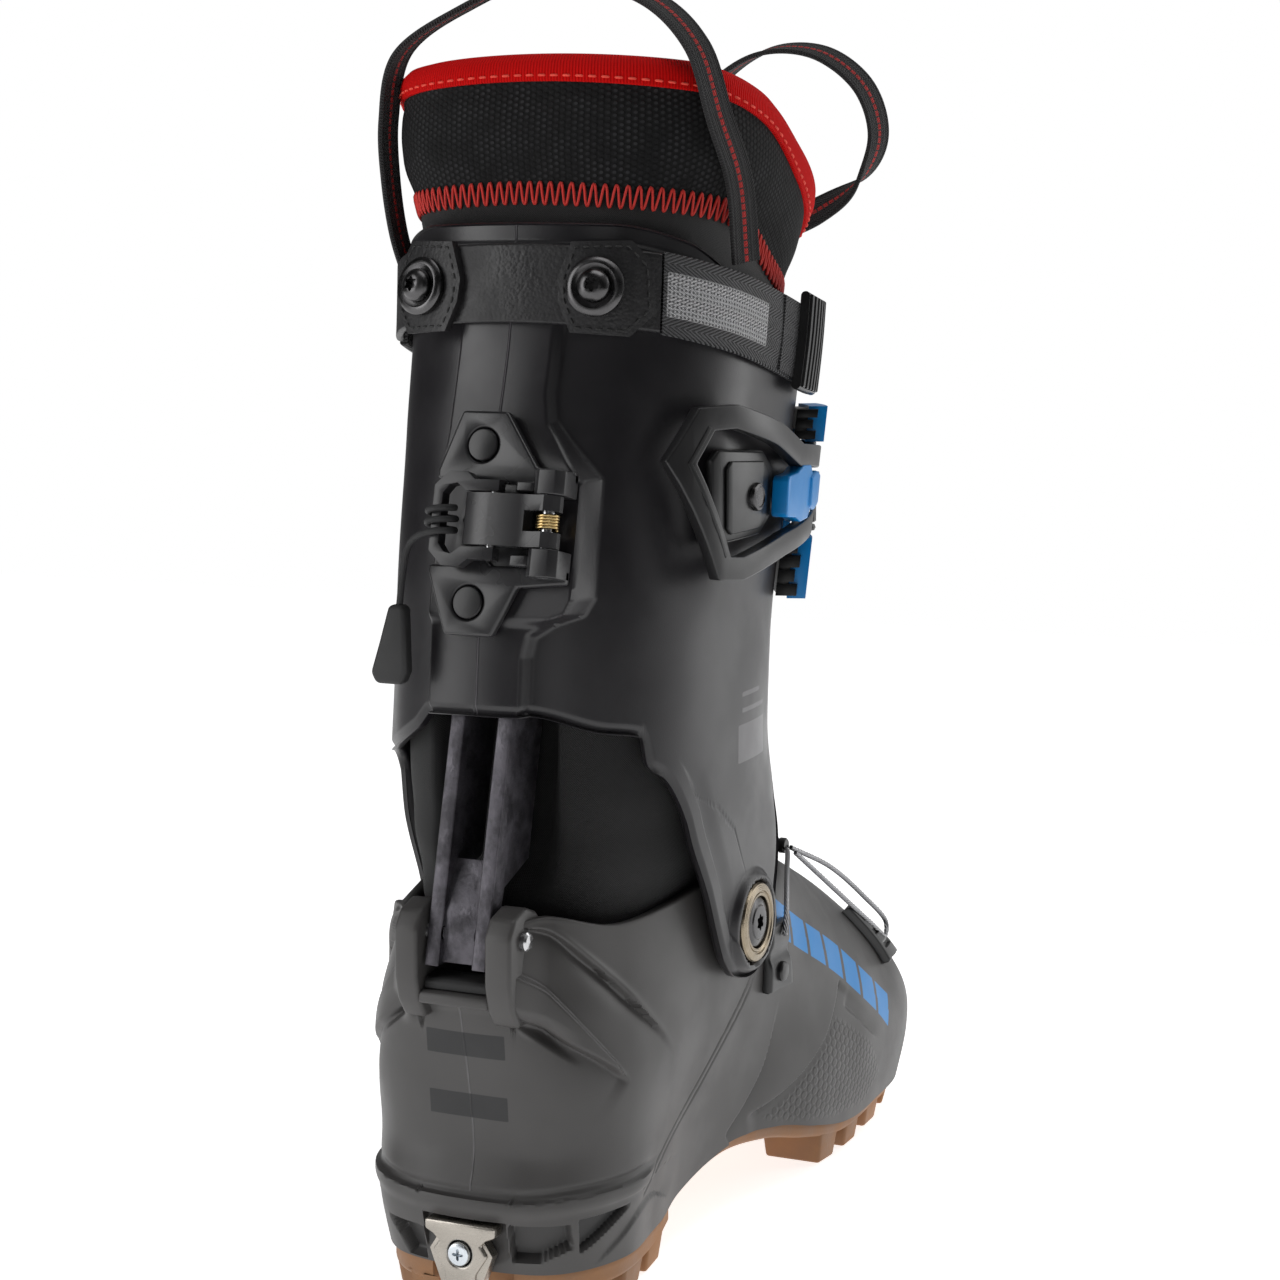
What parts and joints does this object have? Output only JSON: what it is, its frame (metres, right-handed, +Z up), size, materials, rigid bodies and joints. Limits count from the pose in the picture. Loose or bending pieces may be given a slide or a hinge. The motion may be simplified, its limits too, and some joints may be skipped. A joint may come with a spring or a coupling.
{
  "type": "ski touring boot",
  "caption": "Right ski touring boot with lower shell, hinged cuff, lean lock with walk lever, cuff and instep buckles, power strap, liner and lugged sole.",
  "frame": {"origin": "on the ground under the middle of the boot's box, the hanging cord and its tab left out", "axes": "+Y to the toe, +X to the outer (lateral) side of this right boot, +Z up"},
  "size_m": [0.1252, 0.292, 0.3941],
  "materials": {
    "shell_plastic": "moulded warm grey, satin",
    "cuff_plastic": "moulded dark grey, satin",
    "black_plastic": "moulded black",
    "band_leather": "smooth black band with stitched edges",
    "webbing": "woven herringbone webbing with a reflective stripe",
    "loop_webbing": "narrow woven tape with a red centre line",
    "liner_fabric": "honeycomb mesh with red binding",
    "liner_foam": "moulded foam covered in knit",
    "gaiter_film": "thin smoky elastomer",
    "sole_rubber": "gum rubber, matt",
    "dark_rubber": "matt",
    "steel": "warm, lightly worn",
    "screw_steel": "bright zinc",
    "brass_ring": "anodised brass tone, turned",
    "spring_wire": "drawn wire",
    "forged_alloy": "dark, mottled",
    "blue_alloy": "blue anodised",
    "cable_steel": "stranded",
    "insole_board": "board"
  },
  "bodies": {
    "shell": {"lower_shell": "shell_plastic", "outsole_heel": "sole_rubber", "outsole_front": "sole_rubber", "pivot_bolt_lateral": "forged_alloy", "pivot_bolt_medial": "forged_alloy", "pivot_nut_lateral": "steel", "pivot_nut_medial": "steel", "lock_bar_pin": "steel", "liner_foot": "liner_foam", "boot_board": "insole_board", "footbed": "liner_foam", "instep_gaiter": "gaiter_film", "cable_rear": "cable_steel", "cable_front": "cable_steel", "cable_guide": "black_plastic", "cable_hook": "black_plastic", "instep_base": "black_plastic", "instep_pin": "steel", "heel_insert": "steel", "heel_insert_screw": "screw_steel", "heel_pad": "dark_rubber", "toe_insert_lateral": "steel", "toe_insert_medial": "steel"},
    "cuff": {"cuff": "cuff_plastic", "pivot_ring_lateral": "brass_ring", "pivot_ring_medial": "brass_ring", "liner_cuff": "liner_fabric", "liner_tongue": "liner_fabric", "liner_loop_rear": "loop_webbing", "liner_loop_front": "loop_webbing", "strap_rear_band": "band_leather", "power_strap": "webbing", "strap_end": "black_plastic", "strap_tab_lateral": "band_leather", "strap_tab_medial": "band_leather", "strap_washer_lateral": "forged_alloy", "strap_washer_medial": "forged_alloy", "strap_bolt_lateral": "forged_alloy", "strap_bolt_medial": "forged_alloy", "lever_bracket": "cuff_plastic", "bracket_rivet_upper": "forged_alloy", "bracket_rivet_lower": "forged_alloy", "lever_pin": "steel", "lever_spring": "spring_wire", "buckle_base": "black_plastic", "buckle_base_rivet": "black_plastic", "buckle_rack": "blue_alloy", "buckle_pin": "steel"},
    "lock_bar": {"lock_bar": "forged_alloy"},
    "walk_lever": {"walk_lever": "cuff_plastic", "claw_pin": "steel"},
    "lock_claw": {"lock_claw": "cuff_plastic", "pull_cord": "dark_rubber", "pull_tab": "dark_rubber"},
    "lock_pawl": {"lock_pawl": "steel"},
    "buckle_lever": {"buckle_lever": "cuff_plastic", "link_pin": "steel"},
    "buckle_link": {"buckle_link": "blue_alloy"},
    "instep_lever": {"instep_lever": "black_plastic", "cable_ferrule": "black_plastic"}
  },
  "joints": [
    {"name": "cuff_flex", "type": "hinge", "parent": "shell", "child": "cuff", "pos_m": [-0.00224, -0.043, 0.1036], "axis": [-1, 0, 0], "range_deg": [-20, 25]},
    {"name": "lock_bar_swing", "type": "hinge", "parent": "shell", "child": "lock_bar", "pos_m": [-0.00224, -0.138, 0.1155], "axis": [-1, 0, 0], "range_deg": [-20.7, 25.9]},
    {"name": "walk_lever_turn", "type": "hinge", "parent": "cuff", "child": "walk_lever", "pos_m": [0.02226, -0.13079, 0.2358], "axis": [0, 0.225, 0.9744], "range_deg": [0, 75]},
    {"name": "claw_turn", "type": "hinge", "parent": "walk_lever", "child": "lock_claw", "pos_m": [0.00476, -0.13079, 0.2358], "axis": [0, 0.225, 0.9744], "range_deg": [0, 70]},
    {"name": "pawl_slide", "type": "slide", "parent": "cuff", "child": "lock_pawl", "axis": [0, -0.9744, 0.225], "range_m": [0, 0.005]},
    {"name": "buckle_lever_turn", "type": "hinge", "parent": "cuff", "child": "buckle_lever", "pos_m": [0.04722, 0.00611, 0.24], "axis": [0, 0, 1], "range_deg": [0, 140]},
    {"name": "buckle_link_turn", "type": "hinge", "parent": "buckle_lever", "child": "buckle_link", "pos_m": [0.05686, -0.01839, 0.24], "axis": [0, 0, 1], "range_deg": [-3, 6]},
    {"name": "instep_lever_turn", "type": "hinge", "parent": "shell", "child": "instep_lever", "pos_m": [-0.02624, 0.0475, 0.1144], "axis": [0, -1, 0], "range_deg": [0, 100]}
  ],
  "couplings": [
    {"joint": "lock_bar_swing", "follows": "cuff_flex", "ratio": 1.03},
    {"joint": "pawl_slide", "follows": "walk_lever_turn", "m_per_rad": 0.0038}
  ]
}
